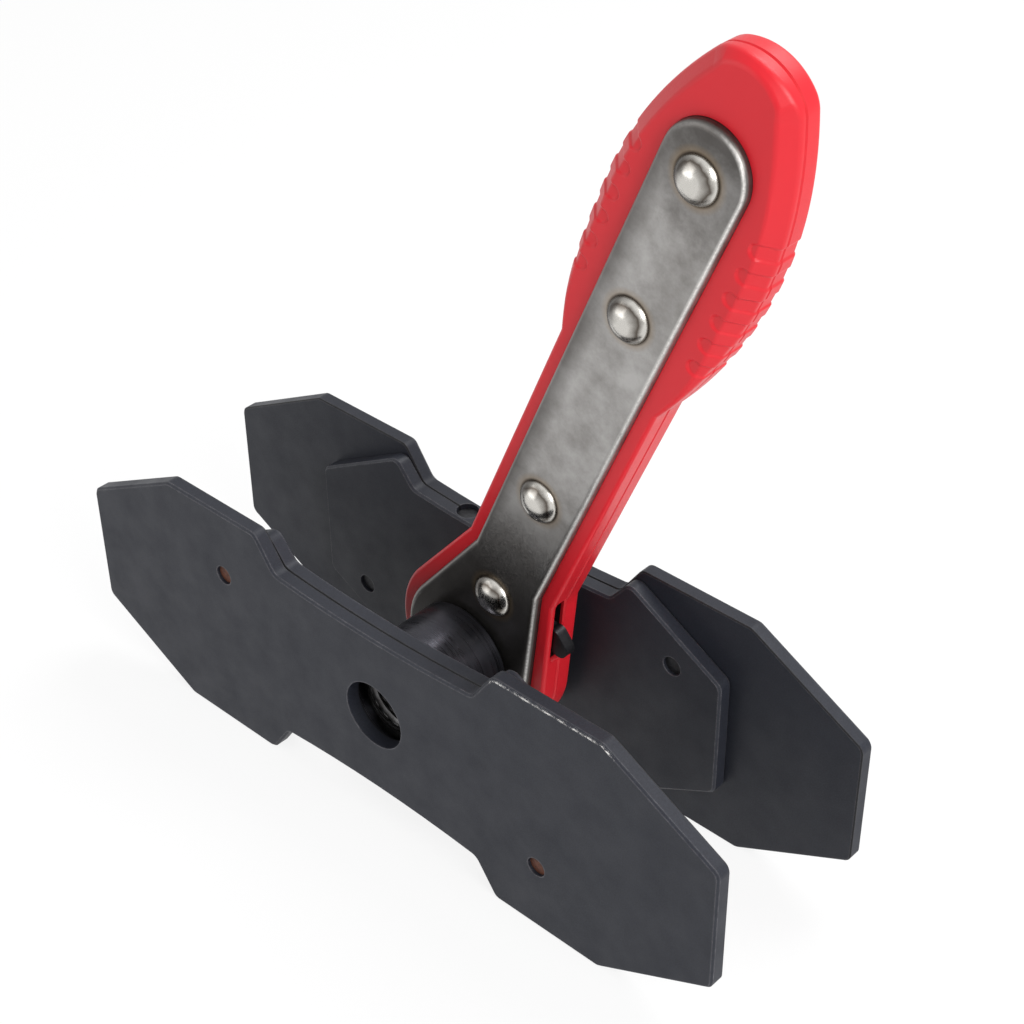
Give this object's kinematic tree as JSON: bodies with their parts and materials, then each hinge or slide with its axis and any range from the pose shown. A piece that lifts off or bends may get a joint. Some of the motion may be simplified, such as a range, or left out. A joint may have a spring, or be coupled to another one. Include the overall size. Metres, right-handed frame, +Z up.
{
  "type": "ratcheting caliper piston press",
  "caption": "Hand press whose ratchet handle drives a two-way screw that spreads a pair of parallel notched jaw plates.",
  "frame": {"origin": "centre of the near jaw's outer face, on the screw axis", "axes": "+Y along the screw axis from the near jaw to the far jaw, +X along the jaws, +Z up across the jaws, towards the handle"},
  "size_m": [0.18, 0.0483, 0.1852],
  "materials": {
    "jaw_steel": "near-black phosphate coat, satin, edges rubbed a little lighter",
    "collar_steel": "blackened turned steel, satin",
    "pin_steel": "dull brown steel pin ends",
    "screw_steel": "oiled bright steel",
    "side_plate_steel": "fine brushed nickel-plated steel",
    "rivet_steel": "polished rivet heads",
    "grip_plastic": "red moulded nylon, satin",
    "pawl_steel": "black oxide, satin"
  },
  "bodies": {
    "near_jaw": {"near_jaw_outer_plate": "jaw_steel", "near_jaw_inner_plate": "jaw_steel", "near_jaw_collar": "collar_steel", "near_jaw_plate_pin_left": "pin_steel", "near_jaw_plate_pin_right": "pin_steel", "near_jaw_lock_pin_left": "pin_steel", "near_jaw_lock_pin_right": "pin_steel"},
    "far_jaw": {"far_jaw_outer_plate": "jaw_steel", "far_jaw_inner_plate": "jaw_steel", "far_jaw_stud": "screw_steel", "far_jaw_plate_pin_left": "pin_steel", "far_jaw_plate_pin_right": "pin_steel", "far_jaw_lock_pin_left": "pin_steel", "far_jaw_lock_pin_right": "pin_steel"},
    "thrust_rings": {"near_thrust_ring": "screw_steel", "far_thrust_ring": "screw_steel"},
    "drive": {"drive_screw": "screw_steel"},
    "handle": {"near_side_plate": "side_plate_steel", "far_side_plate": "side_plate_steel", "near_handle_shell": "grip_plastic", "far_handle_shell": "grip_plastic", "handle_rivet_1": "rivet_steel", "handle_rivet_2": "rivet_steel", "handle_rivet_3": "rivet_steel", "handle_rivet_4": "rivet_steel", "detent_spring": "screw_steel"},
    "pawl": {"direction_pawl": "pawl_steel"},
    "plunger": {"detent_plunger": "screw_steel"}
  },
  "joints": [
    {"name": "near_travel", "type": "slide", "parent": "near_jaw", "child": "thrust_rings", "axis": [0, 1, 0], "range_m": [0, 0.014]},
    {"name": "drive_turn", "type": "hinge", "parent": "thrust_rings", "child": "drive", "pos_m": [0, 0.0337, 0], "axis": [0, 1, 0], "range_deg": [0, 2520]},
    {"name": "far_travel", "type": "slide", "parent": "thrust_rings", "child": "far_jaw", "axis": [0, 1, 0], "range_m": [0, 0.014]},
    {"name": "handle_swing", "type": "hinge", "parent": "thrust_rings", "child": "handle", "pos_m": [0, 0.0337, 0], "axis": [0, 1, 0], "continuous": true},
    {"name": "pawl_tilt", "type": "hinge", "parent": "handle", "child": "pawl", "pos_m": [0.00867, 0.0337, 0.02022], "axis": [0, 1, 0], "range_deg": [-8.5, 8.5]},
    {"name": "plunger_press", "type": "slide", "parent": "handle", "child": "plunger", "axis": [0.3939, 0, 0.9191], "range_m": [0, 0.001], "stiffness_N_per_m": 800, "springref_m": -0.002, "deforming": ["detent_spring"]}
  ],
  "couplings": [
    {"joint": "drive_turn", "follows": "near_travel", "rad_per_m": 3141.6},
    {"joint": "far_travel", "follows": "near_travel", "ratio": 1}
  ]
}
